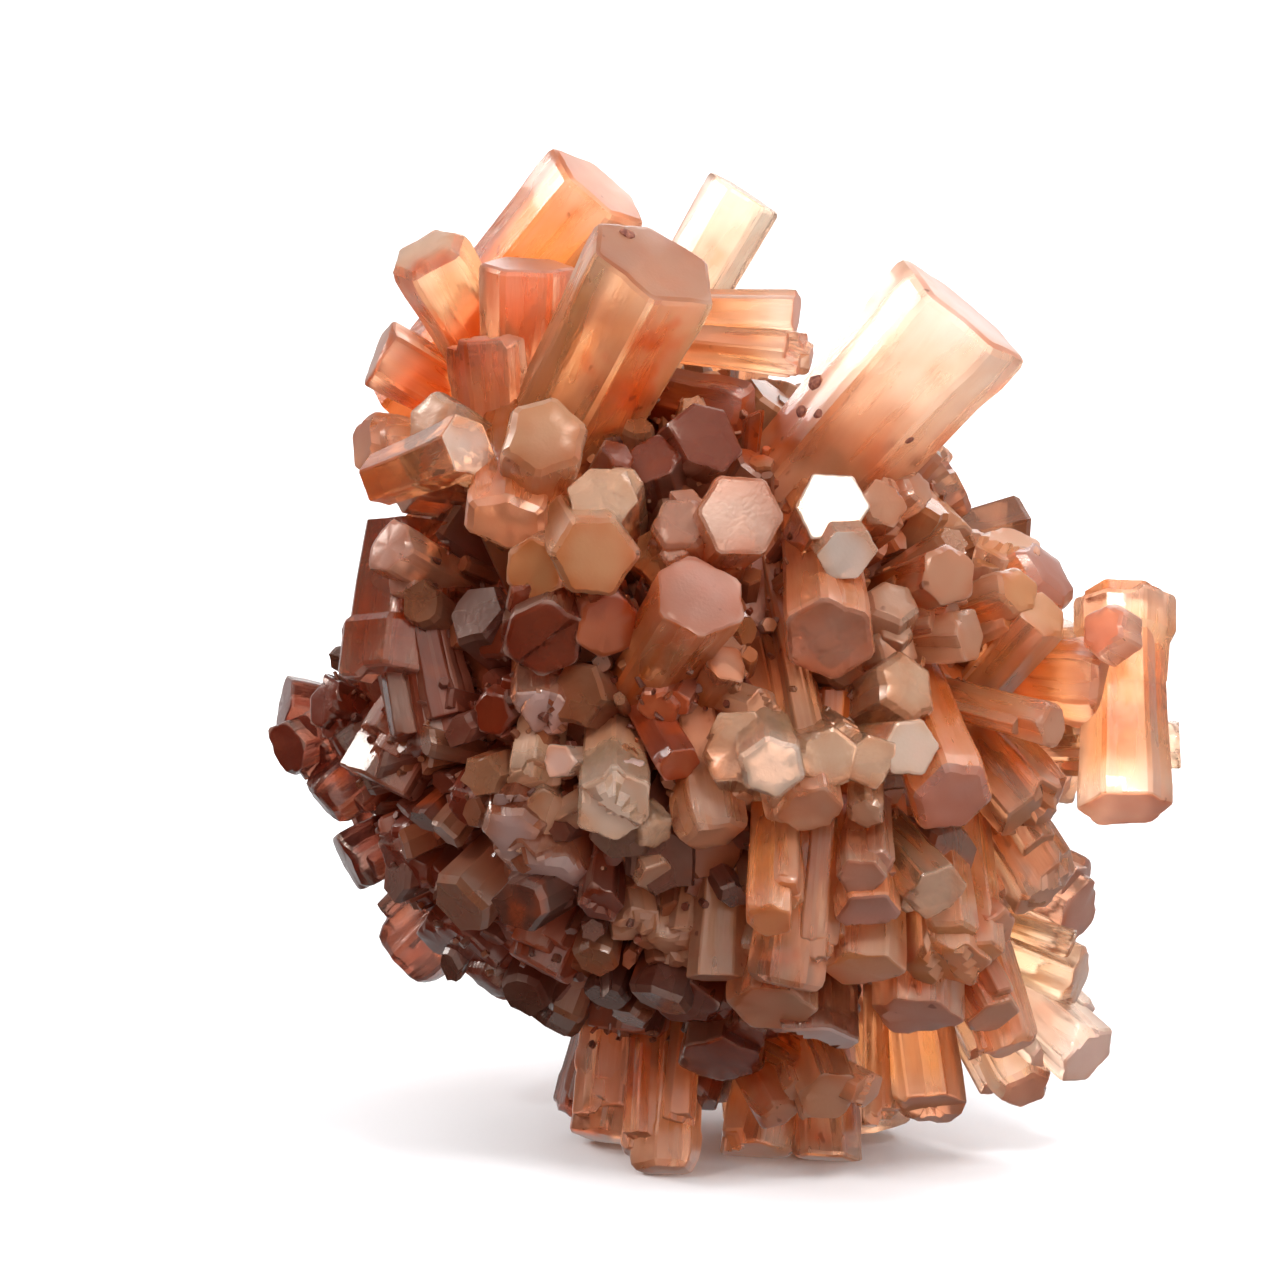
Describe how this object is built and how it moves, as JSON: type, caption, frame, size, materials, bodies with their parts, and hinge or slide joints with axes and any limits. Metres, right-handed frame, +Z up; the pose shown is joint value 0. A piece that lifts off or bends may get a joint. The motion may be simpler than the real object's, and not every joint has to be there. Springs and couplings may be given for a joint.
{
  "type": "aragonite sputnik cluster",
  "caption": "Ball of stout flat-ended aragonite crystals, grown together round one heart and pointing out all over it, that rests on a small flat spot.",
  "frame": {"origin": "middle of the bounding box's bottom, on the surface that the cluster rests on", "axes": "+Z up, the longest extent, along the cluster's height as it rests; the front with the blunt crystals that face the viewer looks towards -Y; +X is to the viewer's right"},
  "size_m": [0.0716, 0.0696, 0.0781],
  "materials": {
    "aragonite": "glossy, frosted on the end faces"
  },
  "bodies": {
    "root": {"crystal_cluster": "aragonite"}
  },
  "joints": []
}
